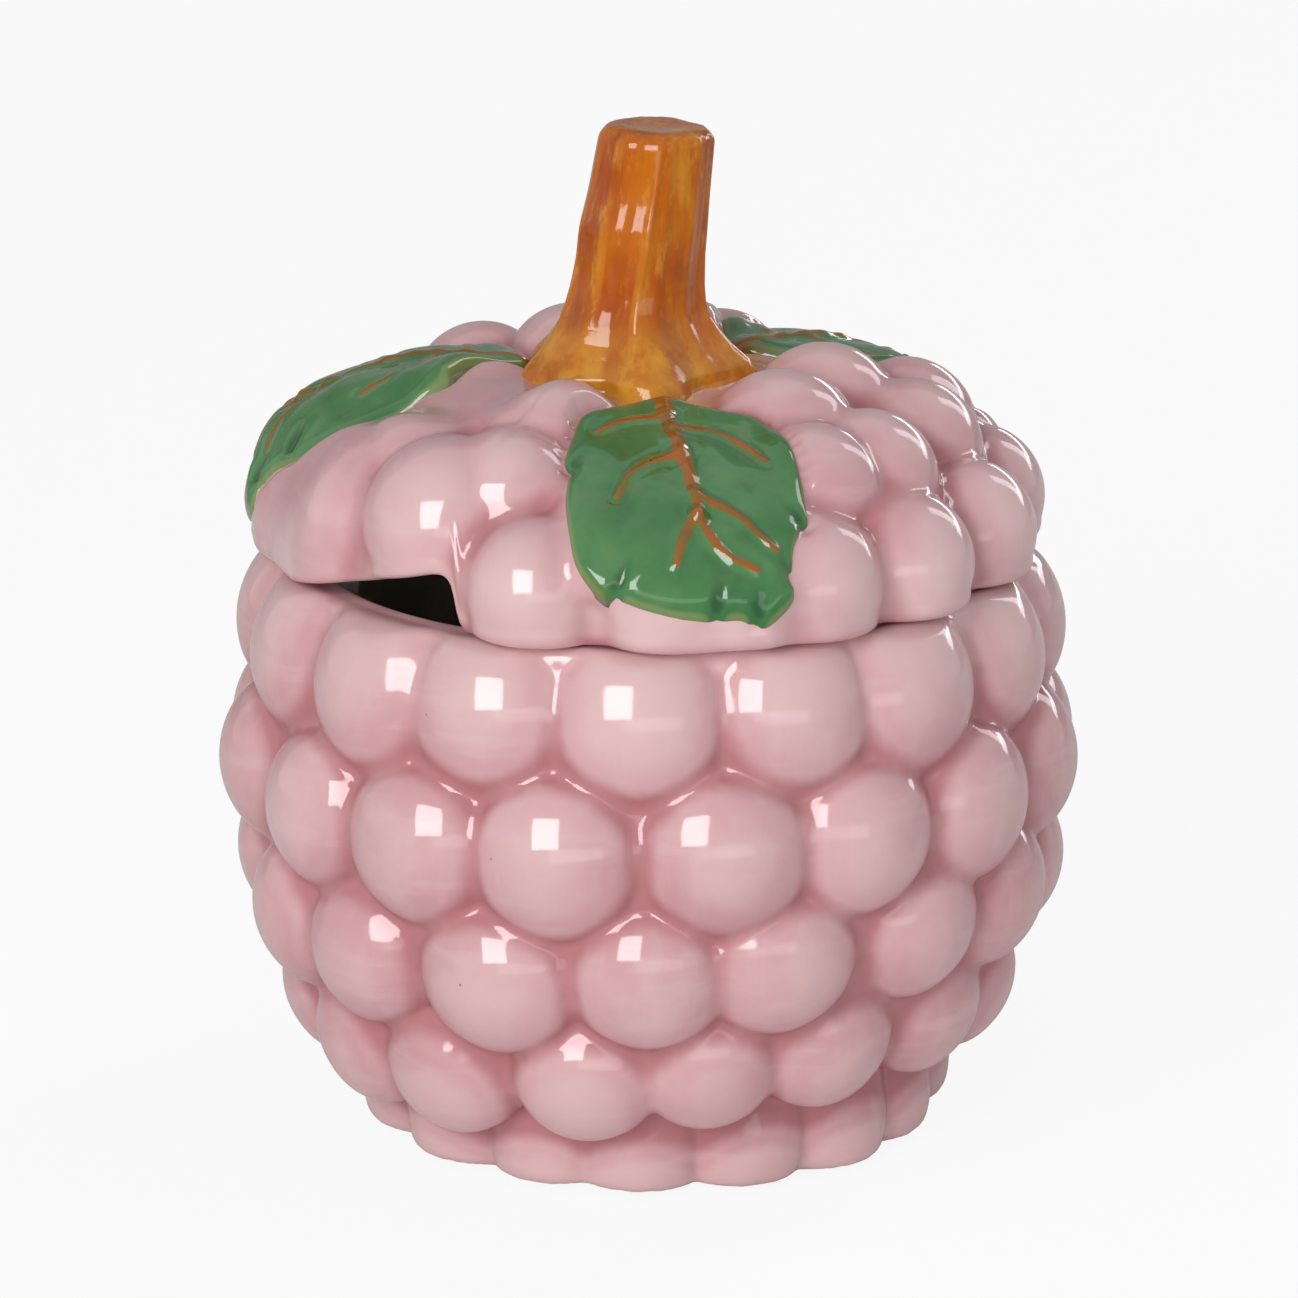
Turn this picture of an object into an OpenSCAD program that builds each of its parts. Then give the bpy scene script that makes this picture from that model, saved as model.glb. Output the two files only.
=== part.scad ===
// Berry jam pot in glazed ceramic: a pot moulded as a raspberry, and a lift-off lid with a notch for a
// spoon, a bark-like stem as its knob and three moulded leaves.
// Millimetres, +Z up. The origin is the middle of the foot, on the table. The front is -Y.
// Angles round the pot are measured from the front, positive towards +X.

/* [Pot] */
// widest size across the drupelets
berry_d = 110; // [104:1:118]
// height of the widest part above the table
belly_z = 45; // [42:1:50]
// radius of the arc that the side of the berry follows
side_arc_r = 58; // [54:1:75]
// height of the rim that the lid rests on
rim_h = 74; // [70:1:80]
// inside diameter of the mouth
mouth_d = 84; // [78:1:86]
// width of the flat rim
rim_w = 4.5; // [3:0.5:5]
// slope of the shoulder below the rim, in degrees
shoulder_slope = 22; // [15:1:35]
// wall of the pot and of the lid, in the valleys
wall = 5; // [4:0.5:6.5]
// thickness of the floor above the foot
floor_t = 6; // [5:0.5:9]
// size of the slope between the floor and the wall, inside
floor_corner = 4; // [2:0.5:6]
// outside diameter of the foot ring
foot_d = 64; // [58:1:66]
// width of the foot ring
foot_w = 5; // [3:0.5:8]
// height of the foot ring below the lowest drupelets
foot_h = 0.8; // [0.5:0.1:1.5]
// slope of the underside from the foot ring outwards, in degrees
under_slope = 12; // [8:1:20]

/* [Drupelets] */
// drupelets in each row of the pot and in the edge row of the lid
per_row = 16; // [14:1:17]
// rows on the pot
rows = 5; // [4:1:5]
// radius of a drupelet in the top row of the pot
drupelet_r = 13.5; // [12.5:0.25:14]
// size of a drupelet against those in the row above it
size_shrink = 0.94; // [0.92:0.005:0.98]
// step down to a row against the step before it
step_shrink = 0.94; // [0.92:0.005:1]
// height of the lowest row's centres
low_row_z = 7; // [6.5:0.5:9]
// depth of the highest row's centres below the rim
high_row_drop = 10; // [9:0.5:12]
// how far the valley floors stand outside the centres of the top row
valley_out = 8.8; // [8:0.1:9.4]
// turn of the rows, in degrees
row_turn = -1.5; // [-11:0.5:11]
// how far the middle rows wave up and down
row_wave = 2.4; // [0:0.2:3]
// how much the drupelets stray from even places, in degrees
stray = 1.5; // [0:0.25:2.5]

/* [Lid] */
// widest size across the drupelets of the lid
lid_d = 100.6; // [96:0.2:106]
// height of the lid's crown above the rim, without the stem
lid_h = 26.5; // [24.5:0.5:30]
// height of the edge row's centres above the rim
lid_skirt = 5.6; // [4.6:0.2:6.6]
// radius of the drupelets in the edge row
lid_edge_r = 9.2; // [8.4:0.2:10]
// radius of the drupelets in the middle row
lid_mid_r = 9.4; // [8.6:0.2:10.2]
// drupelets in the middle row
lid_mid_count = 13; // [12:1:16]
// radius of the drupelets in the crown row
lid_crown_r = 10; // [9:0.2:11]
// drupelets in the crown row
lid_crown_count = 9; // [8:1:10]
// how far the valley floors stand outside the centres of the drupelets
lid_valley_out = 4.6; // [4:0.1:5.4]
// turn of the edge row, in degrees
lid_turn = 4; // [-4:0.5:8]
// turn of the middle row against the edge row, in degrees
lid_mid_turn = 4.5; // [1:0.5:6]
// turn of the crown row against the edge row, in degrees
lid_crown_turn = -2; // [-4:0.5:2]
// depth of the ring that drops into the mouth
flange_h = 5; // [4:0.5:8]
// thickness of that ring
flange_t = 3; // [2.5:0.25:4]
// room between that ring and the mouth, all round
flange_clear = 1; // [0.6:0.1:2]
// room between the lid and the rim
seat_gap = 0.2; // [0.1:0.05:0.4]

/* [Spoon notch] */
// width of the notch at the rim
notch_w = 29; // [25:1:31]
// height of the notch at its steep end
notch_h = 7.6; // [6:0.2:8.2]
// radius of the corner at its steep end
notch_corner = 2.5; // [1.5:0.25:3.5]
// how far the steep end stands to the right of the drupelet over the notch
notch_end = 8; // [6.5:0.5:8.5]
// how far the drupelet over the notch is raised
hood_rise = 5; // [3:0.5:6]
// how much larger than the rest the two drupelets over the notch are, in radius
hood_grow = 1.8; // [0:0.2:2]

/* [Stem] */
// height of the stem above the crown
stem_h = 31.5; // [27:0.5:38]
// diameter of the stem at its top
stem_d = 14.6; // [12:0.2:18]
// how much thicker the stem is just above its root
stem_taper = 0.9; // [0.4:0.1:1.6]
// diameter of the flared root
root_d = 32; // [28:0.5:35]
// how far the root reaches down between the drupelets of the crown
root_sink = 1.5; // [1:0.1:2]
// height over which the flare dies out
flare_h = 4.5; // [3:0.25:6]
// how far the root stands to the left of the middle
stem_shift = 2.2; // [0:0.2:3]
// how far the top leans to the right of the root
lean = 3.2; // [0:0.2:5]
// bark ridges round the stem
ridges = 9; // [7:1:11]
// turn of the bark ridges from the root to the top, in degrees
ridge_turn = 14; // [-20:1:20]
// height of a bark ridge
ridge_h = 0.35; // [0.1:0.05:0.6]
// lobes of the root
lobes = 5; // [4:1:6]
// height of a root lobe
lobe_h = 1.6; // [0.5:0.1:2]

/* [Leaves] */
// thickness of a leaf on the crown
leaf_t = 2; // [1.4:0.1:2.6]
// thickness of a leaf over the edge drupelets
leaf_over = 0.9; // [0.6:0.1:1.6]
// how far down a leaf's rim reaches between the drupelets
leaf_depth = 3.2; // [2.4:0.1:4]
// width of a leaf
leaf_w = 30; // [24:0.5:32]
// length of a leaf along its slope
leaf_l = 39; // [34:0.5:41]
// teeth along each edge of a leaf
leaf_teeth = 5; // [4:1:7]
// depth of the teeth
tooth_h = 1.2; // [0.4:0.1:1.6]
// sideways sweep of a leaf's tip
leaf_sweep = 1.5; // [0:0.25:4]
// fullness of a leaf's base, where 2 is an ellipse
leaf_base_full = 1.8; // [1.4:0.1:2.4]
// fullness of a leaf's tip, where 2 is an ellipse
leaf_tip_full = 3.4; // [2:0.1:4]
// slope that a leaf is laid at, in degrees
leaf_slope = 40; // [36:1:44]
// height of the veins
vein_h = 0.5; // [0.2:0.1:0.8]
// width of the middle vein
vein_w = 2.2; // [1.4:0.1:3]
// turn of the front leaf, in degrees
front_turn = 6; // [0:1:15]
// turn of the left leaf, in degrees
left_turn = -101; // [-112:1:-95]
// turn of the rear leaf, in degrees
rear_turn = 132; // [125:1:142]
// room between the lid and the pieces moulded on to it
bond_gap = 0.06; // [0.04:0.01:0.1]

/* [Hidden] */
$fn = 48;
over = 1;

mouth_r = mouth_d / 2;
rim_r = mouth_r + rim_w;
flange_r = mouth_r - flange_clear;
seat_z = rim_h + seat_gap;

// Pot rows: each row steps down the side by a little less than the row above.
row_pitch = 360 / per_row;
high_row_z = rim_h - high_row_drop;
belly_centre_r = berry_d / 2 - drupelet_r * size_shrink;
function step_sum(n) = n <= 0 ? 0 : pow(step_shrink, n - 1) + step_sum(n - 1);
function row_z(i) = high_row_z - (high_row_z - low_row_z) * step_sum(i) / step_sum(rows - 1);
function row_r(i) = drupelet_r * pow(size_shrink, i);
function side_r(z) = belly_centre_r - side_arc_r + sqrt(pow(side_arc_r, 2) - pow(z - belly_z, 2));
valley_line = [for (i = [0 : rows - 1]) [row_z(i), side_r(row_z(i)) + valley_out * pow(size_shrink, i)]];
function core_r(z) = lookup(z, valley_line);
function spot(turn, r, z) = [r * sin(turn), -r * cos(turn), z];

// Drupelets stray a little from their even places, by a wave that doesn't repeat from row to row.
function stray_turn(i, k) = stray * sin(137 * k + 61 * i);
function stray_size(i, k) = 1 + 0.01 * stray * sin(211 * k + 97 * i);
function pot_turn(i, k) = row_turn + row_pitch * (k + (i % 2) / 2) + stray_turn(i, k);
function wave_share(i) = sin(180 * pow(i / (rows - 1), 1.6));
function pot_z(i, k) = row_z(i) + row_wave * wave_share(i) * sin(2 * pot_turn(i, k));

// Lid rows: the centres lie on a flat ellipse, from the edge row up to the crown.
lid_base_z = seat_z;
lid_edge_z = rim_h + lid_skirt;
lid_mid_t = 37;
lid_crown_t = 58;
lid_a = lid_d / 2 - lid_edge_r;
lid_b = (lid_h - lid_skirt - lid_crown_r) / sin(lid_crown_t);
lid_row_t = [0, lid_mid_t, lid_crown_t];
lid_row_count = [per_row, lid_mid_count, lid_crown_count];
lid_row_size = [lid_edge_r, lid_mid_r, lid_crown_r];
lid_row_first = lid_turn + 2 * row_pitch;
lid_row_turn = [lid_turn, lid_row_first + lid_mid_turn, lid_row_first + lid_crown_turn];
crown_z = lid_edge_z + lid_b + lid_valley_out;

// The notch takes the foot of the second drupelet to the left of the front one.
notch_k = per_row - 2;
notch_turn = lid_turn - 2 * row_pitch;
notch_start = notch_end - notch_w;
notch_slope = atan(notch_h / notch_w);
notch_corner_x = notch_end - notch_corner;
notch_corner_z = (notch_corner_x - notch_start) * tan(notch_slope) - notch_corner / cos(notch_slope);
function hood_share(i, k) = i > 0 ? 0 : k == notch_k ? 1 : k == notch_k - 1 ? 0.5 : 0;
function is_hood(i, k) = hood_share(i, k) > 0;
function is_beside(i, k) = i == 0 && k == notch_k + 1;
function lid_size(i, k) = lid_row_size[i] + (is_hood(i, k) ? hood_grow : 0);
function lid_stray(i, k) = is_hood(i, k) ? 0 : stray_turn(i + rows, k);
function lid_even_turn(i, k) = lid_row_turn[i] + 360 / lid_row_count[i] * k + lid_stray(i, k);
function hood_in(i, k) = is_hood(i, k) ? hood_grow + hood_rise * hood_share(i, k) / 2 : 0;
function lid_spot_r(i, k) = lid_a * cos(lid_row_t[i]) - hood_in(i, k);
function lid_spot_z(i, k) = lid_edge_z + lid_b * sin(lid_row_t[i]) + hood_rise * hood_share(i, k);
function turn_from(a, b) = (a - b + 900) % 360 - 180;
function apart(a, b) = abs(turn_from(a, b));

// No drupelet stands where a leaf lies on the crown, and one in the middle row that would lie half under
// a leaf is pushed out to the leaf's edge.
leaf_turns = [front_turn, left_turn, rear_turn];
function aside(i, k, turn) = lid_spot_r(i, k) * sin(min(90, apart(lid_even_turn(i, k), turn)));
function aside_least(i, k) = min([for (turn = leaf_turns) aside(i, k, turn)]);
function under_leaf(i, k) = i > 0 && aside_least(i, k) < leaf_w / 2 - lid_row_size[i] / 2;
leaf_edge_turn = asin((leaf_w / 2 + lid_mid_r / 5) / (lid_a * cos(lid_mid_t)));
function pushed(turn, leaf) = apart(turn, leaf) < leaf_edge_turn
    ? leaf + sign(turn_from(turn, leaf)) * leaf_edge_turn : turn;
function pushed_by_all(turn) = pushed(pushed(pushed(turn, front_turn), left_turn), rear_turn);
function lid_spot_turn(i, k) = i == 1 ? pushed_by_all(lid_even_turn(i, k)) : lid_even_turn(i, k);

// Stem: a round section with bark ridges that flares into a lobed root.
stem_rings = 22;
stem_sides = 45;
stem_foot_z = crown_z - root_sink;
stem_top_z = crown_z + stem_h;
stem_edge = 1.2;
lean_start = 0.25;
function stem_share(k) = k / (stem_rings - 1);
function stem_rise(k) = pow(stem_share(k), 1.5);
function stem_z(k) = stem_foot_z + (stem_top_z - stem_foot_z) * stem_rise(k);
function flare(z) = exp(-max(0, z - crown_z) / flare_h);
function stem_body_r(z) = stem_d / 2 + stem_taper * (stem_top_z - z) / stem_h * (1 - flare(z))
    + (root_d - stem_d) / 2 * flare(z);
function stem_edge_in(z) = stem_edge * pow(max(0, 1 - (stem_top_z - z) / (2 * stem_edge)), 2);
function stem_x(z) = lean * max(0, (z - crown_z) / stem_h - lean_start) / (1 - lean_start) - stem_shift;
function ridge_at(z, a) = ridges * (a + ridge_turn * (z - crown_z) / stem_h);
function ridge(z, a) = ridge_h * cos(ridge_at(z, a)) + ridge_h / 2 * sin(4 * a + 50);
function lobe(z, a) = lobe_h * (cos(lobes * a + 20) - 1) * flare(z);
function stem_r(z, a) = stem_body_r(z) + ridge(z, a) + lobe(z, a) - stem_edge_in(z);
function stem_point(k, j) = let (z = stem_z(k), a = 360 * j / stem_sides, r = stem_r(z, a))
    [stem_x(z) + r * cos(a), r * sin(a), z];

// Leaf outline: full in the middle, with teeth that point to the tip.
leaf_steps = 4 * leaf_teeth;
leaf_tip_s = 0.99;
function fullness(s) = s < 0.5 ? leaf_base_full : leaf_tip_full;
function leaf_full(s) = pow(1 - pow(abs(2 * min(s, leaf_tip_s) - 1), fullness(s)), 1 / fullness(s));
function leaf_tooth(s) = tooth_h * (1 - (leaf_teeth * s) % 1) * sin(180 * s);
function leaf_bend(s) = leaf_sweep * pow(s, 2);
function leaf_half(s) = leaf_w / 2 * leaf_full(s) - leaf_tooth(s);
function leaf_side(s, side) = [side * leaf_half(s) - leaf_bend(s), leaf_l * s];
function mid_vein(s, side) = [side * vein_w / 2 * (1 - 0.7 * s) - leaf_bend(s), leaf_l * s];
vein_starts = [0.16, 0.38, 0.58];
vein_reach = 0.62;
vein_climb = 0.2;

module drupelet(place, r) {
    translate(place)
        sphere(r = r);
}

module pot_core() {
    rotate_extrude($fn = 96)
        polygon(concat(
            [[0, foot_h], [foot_d / 2 + foot_h, foot_h]],
            [for (i = [rows - 1 : -1 : 0]) [core_r(row_z(i)), row_z(i)]],
            [[rim_r, rim_h], [0, rim_h]]
        ));
}

module foot_ring() {
    rotate_extrude($fn = 96)
        polygon([
            [foot_d / 2 - foot_w, 0],
            [foot_d / 2, 0],
            [foot_d / 2 + foot_h, foot_h + over],
            [foot_d / 2 - foot_w - foot_h, foot_h + over]
        ]);
}

module pot_cavity() {
    floor_z = foot_h + floor_t;
    rotate_extrude($fn = 96)
        polygon(concat(
            [[0, floor_z], [core_r(floor_z) - wall - floor_corner, floor_z]],
            [[core_r(floor_z + floor_corner) - wall, floor_z + floor_corner]],
            [for (i = [rows - 2 : -1 : 1]) [core_r(row_z(i)) - wall, row_z(i)]],
            [[mouth_r, high_row_z], [mouth_r, rim_h + over], [0, rim_h + over]]
        ));
}

module above_shoulder() {
    reach = berry_d;
    rotate_extrude($fn = 96)
        polygon([
            [rim_r, rim_h],
            [rim_r + reach, rim_h - reach * tan(shoulder_slope)],
            [rim_r + reach, rim_h + reach],
            [0, rim_h + reach],
            [0, rim_h]
        ]);
}

module below_drupelets() {
    reach = berry_d;
    rotate_extrude($fn = 96)
        polygon([
            [0, foot_h],
            [foot_d / 2, foot_h],
            [foot_d / 2 + reach, foot_h + reach * tan(under_slope)],
            [foot_d / 2 + reach, -reach],
            [0, -reach]
        ]);
}

module pot() {
    color([0.83, 0.64, 0.65])
        difference() {
            union() {
                difference() {
                    union() {
                        pot_core();
                        for (i = [0 : rows - 1])
                            for (k = [0 : per_row - 1])
                                drupelet(spot(pot_turn(i, k), side_r(row_z(i)), pot_z(i, k)),
                                    row_r(i) * stray_size(i, k));
                    }
                    above_shoulder();
                    below_drupelets();
                }
                foot_ring();
            }
            pot_cavity();
        }
}

// The filled dome of the lid between its drupelets, grown by a little where other pieces lie on it.
module lid_core(grow) {
    a = lid_a + lid_valley_out + grow;
    b = lid_b + lid_valley_out + grow;
    steps = [0, lid_mid_t / 2, lid_mid_t, lid_crown_t, 74];
    rotate_extrude($fn = 96)
        polygon(concat(
            [[0, lid_base_z], [a, lid_base_z]],
            [for (t = steps) [a * cos(t), lid_edge_z + b * sin(t)]],
            [[0, lid_edge_z + b]]
        ));
}

module lid_drupelet(i, k, grow) {
    if (!under_leaf(i, k))
        drupelet(spot(lid_spot_turn(i, k), lid_spot_r(i, k), lid_spot_z(i, k)), lid_size(i, k) + grow);
}

module lid_cavity() {
    a = flange_r - flange_t;
    b = lid_b + lid_valley_out - wall;
    steps = [0 : 18 : 72];
    rotate_extrude($fn = 96)
        polygon(concat(
            [[0, rim_h - flange_h - over], [a, rim_h - flange_h - over]],
            [for (t = steps) [a * cos(t), lid_edge_z + b * sin(t)]],
            [[0, lid_edge_z + b]]
        ));
}

module flange() {
    translate([0, 0, rim_h - flange_h])
        cylinder(h = flange_h + seat_gap + over, r = flange_r, $fn = 96);
}

module below_lid() {
    translate([0, 0, lid_base_z - berry_d])
        cylinder(h = berry_d, d = 2 * berry_d);
}

// The roof of the notch slopes up from the seat to a steep end with a round corner.
module notch_outline() {
    deep = flange_h + 2 * over;
    steps = 6;
    turns = [for (n = [0 : steps]) (90 + notch_slope) * (1 - n / steps)];
    polygon(concat(
        [[notch_end, -deep], [notch_start, -deep], [notch_start, 0]],
        [for (a = turns) [notch_corner_x + notch_corner * cos(a), notch_corner_z + notch_corner * sin(a)]]
    ));
}

module spoon_notch() {
    rotate([0, 0, notch_turn])
        translate([0, 0, rim_h])
            rotate([90, 0, 0])
                linear_extrude(height = berry_d)
                    notch_outline();
}

// The notch cuts the dome and every drupelet but the one to its right, which bulges into it.
module notched_dome() {
    difference() {
        union() {
            lid_core(0);
            for (i = [0 : 2])
                for (k = [0 : lid_row_count[i] - 1])
                    if (!is_beside(i, k))
                        lid_drupelet(i, k, 0);
        }
        spoon_notch();
    }
    lid_drupelet(0, notch_k + 1, 0);
}

module lid() {
    color([0.85, 0.68, 0.69])
        difference() {
            union() {
                difference() {
                    notched_dome();
                    below_lid();
                }
                difference() {
                    flange();
                    spoon_notch();
                }
            }
            lid_cavity();
        }
}

module crown_under_stem() {
    lid_core(bond_gap);
    for (k = [0 : lid_crown_count - 1])
        lid_drupelet(2, k, bond_gap);
}

module stem_loft() {
    count = stem_rings * stem_sides;
    last = stem_rings - 1;
    bands = [0 : last - 1];
    sides = [0 : stem_sides - 1];
    ring_points = [for (k = [0 : last]) for (j = sides) stem_point(k, j)];
    ends = [[stem_x(stem_foot_z), 0, stem_foot_z], [stem_x(stem_top_z), 0, stem_top_z]];
    function at(k, j) = k * stem_sides + j % stem_sides;
    polyhedron(
        points = concat(ring_points, ends),
        faces = concat(
            [for (k = bands) for (j = sides) [at(k, j), at(k + 1, j), at(k, j + 1)]],
            [for (k = bands) for (j = sides) [at(k, j + 1), at(k + 1, j), at(k + 1, j + 1)]],
            [for (j = sides) [count, at(0, j), at(0, j + 1)]],
            [for (j = sides) [count + 1, at(last, j + 1), at(last, j)]]
        ),
        convexity = 6
    );
}

module stem() {
    color([0.80, 0.45, 0.12])
        difference() {
            stem_loft();
            crown_under_stem();
        }
}

// A dome just over the lid, which is the face of a leaf, or its underside when it is dropped.
module leaf_skin(drop) {
    a = lid_d / 2 + leaf_over - drop;
    b = lid_b + lid_valley_out + leaf_t - drop;
    rotate_extrude($fn = 96)
        polygon(concat(
            [[0, lid_base_z], [a, lid_base_z]],
            [for (t = [0 : 9 : 81]) [a * cos(t), lid_edge_z + b * sin(t)]],
            [[0, lid_edge_z + b]]
        ));
}

module leaf_outline() {
    polygon(concat(
        [for (n = [0 : leaf_steps]) leaf_side(n / leaf_steps, 1)],
        [for (n = [leaf_steps : -1 : 0]) leaf_side(n / leaf_steps, -1)]
    ));
}

module side_vein(s, side) {
    w = vein_w / 3;
    root = [-leaf_bend(s), leaf_l * s];
    tip_s = s + vein_climb;
    tip = [side * leaf_w / 2 * vein_reach * leaf_full(tip_s) - leaf_bend(tip_s), leaf_l * tip_s];
    polygon([root - [0, w], tip, root + [0, w]]);
}

module veins() {
    last = 0.86;
    steps = 6;
    polygon(concat(
        [for (n = [0 : steps]) mid_vein(last * n / steps, 1)],
        [for (n = [steps : -1 : 0]) mid_vein(last * n / steps, -1)]
    ));
    for (s = vein_starts)
        for (side = [-1, 1])
            side_vein(s, side);
}

module laid(turn) {
    rotate([0, 0, turn])
        translate([0, 0, lid_edge_z])
            rotate([leaf_slope, 0, 0])
                rotate([0, 0, 180])
                    linear_extrude(height = berry_d / 2)
                        children();
}

module drupelets_near(turn, grow, first_row) {
    reach = 52;
    for (i = [first_row : 2])
        for (k = [0 : lid_row_count[i] - 1])
            if (apart(lid_spot_turn(i, k), turn) < reach)
                lid_drupelet(i, k, grow);
}

module leaf(turn) {
    color([0.30, 0.55, 0.35])
        difference() {
            union() {
                intersection() {
                    laid(turn)
                        leaf_outline();
                    union() {
                        leaf_skin(0);
                        drupelets_near(turn, leaf_over, 1);
                    }
                }
                intersection() {
                    laid(turn)
                        veins();
                    leaf_skin(-vein_h);
                }
            }
            leaf_skin(leaf_depth);
            lid_core(bond_gap);
            drupelets_near(turn, bond_gap, 0);
            translate([0, 0, lid_base_z])
                cylinder(h = berry_d, d = root_d + 2 * ridge_h + 2 * bond_gap);
        }
}

module leaf_front() {
    leaf(front_turn);
}

module leaf_left() {
    leaf(left_turn);
}

module leaf_rear() {
    leaf(rear_turn);
}

pot();
lid();
stem();
leaf_front();
leaf_left();
leaf_rear();
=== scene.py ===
"""Looks of the berry jam pot: its glazed skins, stem and leaves, with the light and the camera.

Metres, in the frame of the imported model: +Z up, the front is -Y. Turns go round the axis from the front,
positive towards +X. Values times MM are lengths in millimetres. The leaves and the stem are laid out in
plain millimetres, and scaled where they are placed.
"""
import math
import bmesh
import bpy
import numpy as np
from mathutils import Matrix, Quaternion, Vector
from mathutils.bvhtree import BVHTree


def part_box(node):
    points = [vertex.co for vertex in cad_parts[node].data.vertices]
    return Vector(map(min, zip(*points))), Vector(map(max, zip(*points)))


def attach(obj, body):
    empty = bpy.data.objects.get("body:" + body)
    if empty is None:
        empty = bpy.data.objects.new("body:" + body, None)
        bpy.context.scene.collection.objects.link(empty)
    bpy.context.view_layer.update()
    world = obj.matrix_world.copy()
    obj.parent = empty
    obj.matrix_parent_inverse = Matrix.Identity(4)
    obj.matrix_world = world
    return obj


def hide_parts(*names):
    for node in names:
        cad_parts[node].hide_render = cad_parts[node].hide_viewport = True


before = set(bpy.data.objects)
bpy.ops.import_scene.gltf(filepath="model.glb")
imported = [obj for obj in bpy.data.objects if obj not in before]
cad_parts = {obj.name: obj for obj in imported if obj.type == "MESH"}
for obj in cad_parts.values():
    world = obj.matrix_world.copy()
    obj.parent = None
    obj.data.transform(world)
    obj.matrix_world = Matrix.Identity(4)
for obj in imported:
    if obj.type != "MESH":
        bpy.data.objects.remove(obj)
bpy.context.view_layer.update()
MM = 0.001
WHITE = (1, 1, 1, 1)


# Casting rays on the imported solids, from outside towards a ring round the axis

RAY_FROM = 90 * MM
RAY_LENGTH = 0.92 * RAY_FROM


def solid(node):
    """A ray tree over the mesh of a node."""
    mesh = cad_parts[node].data
    points = [v.co.copy() for v in mesh.vertices]
    return BVHTree.FromPolygons(points, [list(p.vertices) for p in mesh.polygons])


def ring_point(turn, tilt, reach, ring_r, ring_z):
    """The point at a reach and tilt from a ring round the axis, at a turn."""
    r = ring_r + reach * np.cos(tilt)
    return np.stack([r * np.sin(turn), -r * np.cos(turn), ring_z + reach * np.sin(tilt)], -1)


def ring_reach(tree, turn, tilt, ring_r, ring_z):
    """How far the solid reaches from the ring at that turn and tilt, or None."""
    start = ring_point(turn, tilt, RAY_FROM, ring_r, ring_z)
    back = Vector(ring_point(turn, tilt, 0.0, ring_r, ring_z) - start)
    hit = tree.ray_cast(Vector(start), back, RAY_LENGTH)
    return None if hit[0] is None else RAY_FROM - hit[3]


def ring_field(tree, turns, tilts, ring_r, ring_z):
    """Reach of the solid for each row of tilts and each turn, with nan where nothing is hit."""
    field = np.full(tilts.shape, np.nan)
    for i in range(tilts.shape[0]):
        for j in range(tilts.shape[1]):
            reach = ring_reach(tree, turns[j], tilts[i, j], ring_r, ring_z)
            if reach is not None:
                field[i, j] = reach
    return field


# Smoothing of such fields. Their columns run round the axis. Steps are the row step, and the column
# step of each row, in metres.


def blur(field, size, steps):
    """Gaussian blur of that size in metres."""
    row_step, col_step = steps
    reach = int(math.ceil(3 * size / col_step.min()))
    total = np.zeros_like(field)
    weight = np.zeros((field.shape[0], 1))
    for k in range(-reach, reach + 1):
        w = np.exp(-0.5 * (k * col_step / size) ** 2)[:, None]
        total += w * np.roll(field, -k, 1)
        weight += w
    return blur_rows(total / weight, size, row_step)


def blur_rows(field, size, row_step):
    """Gaussian blur from row to row alone."""
    reach = int(math.ceil(3 * size / row_step))
    padded = np.pad(field, ((reach, reach), (0, 0)), "edge")
    offsets = np.arange(-reach, reach + 1)
    weights = np.exp(-0.5 * (offsets * row_step / size) ** 2)
    rows = field.shape[0]
    return sum(w * padded[reach + k:reach + k + rows] for k, w in zip(offsets, weights)) / weights.sum()


def roll_ball(field, radius, sign, steps):
    """Lifts the field to what a ball of that radius covers (sign 1), or lowers it alike (sign -1)."""
    row_step, col_step = steps
    rows = field.shape[0]
    reach = int(radius / row_step)
    padded = np.pad(field, ((reach, reach), (0, 0)), "edge")
    best = np.full(field.shape, -np.inf)
    for i in range(-reach, reach + 1):
        band = sign * padded[reach + i:reach + i + rows]
        left = radius ** 2 - (i * row_step) ** 2
        side = int(math.sqrt(left) / col_step.min())
        for k in range(-side, side + 1):
            room = left - (k * col_step) ** 2
            cap = np.where(room >= 0, np.sqrt(np.maximum(room, 0)) - radius, -np.inf)
            best = np.maximum(best, np.roll(band, -k, 1) + cap[:, None])
    return sign * best


def filled(field, radius, steps):
    """Fills the creases that a ball of that radius can't enter."""
    return roll_ball(roll_ball(field, radius, 1, steps), radius, -1, steps)


def glazed(field, round_r, fill_r, soften, steps):
    """Rounds the sharp edges and fills the creases, as a thick glaze does."""
    rounded = roll_ball(roll_ball(field, round_r, -1, steps), round_r, 1, steps)
    return blur(filled(rounded, fill_r, steps), soften, steps)


def creased(field, ball_r, share, steps):
    """Deepens the valleys that a ball of that radius rolls over, by a share of their depth under it."""
    return field - share * (filled(field, ball_r, steps) - field)


def ramp(value, low, high):
    """Smooth step from 0 at low to 1 at high."""
    share = np.clip((value - low) / (high - low), 0, 1)
    return share * share * (3 - 2 * share)


def fill_gaps(field):
    """Fills missing values from the first value above them, and at the top from the last one below."""
    for i in range(field.shape[0] - 2, -1, -1):
        lost = np.isnan(field[i])
        field[i, lost] = field[i + 1, lost]
    for i in range(1, field.shape[0]):
        lost = np.isnan(field[i])
        field[i, lost] = field[i - 1, lost]
    return field


def smooth_round(values, size):
    """Gaussian blur of one ring of values, with the size in steps."""
    reach = int(3 * size) + 1
    offsets = range(-reach, reach + 1)
    weights = [math.exp(-0.5 * (k / size) ** 2) for k in offsets]
    return sum(w * np.roll(values, -k) for k, w in zip(offsets, weights)) / sum(weights)


# Meshes

SAME_POINT = 2e-6
FLAT_FACE = 1e-6


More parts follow.
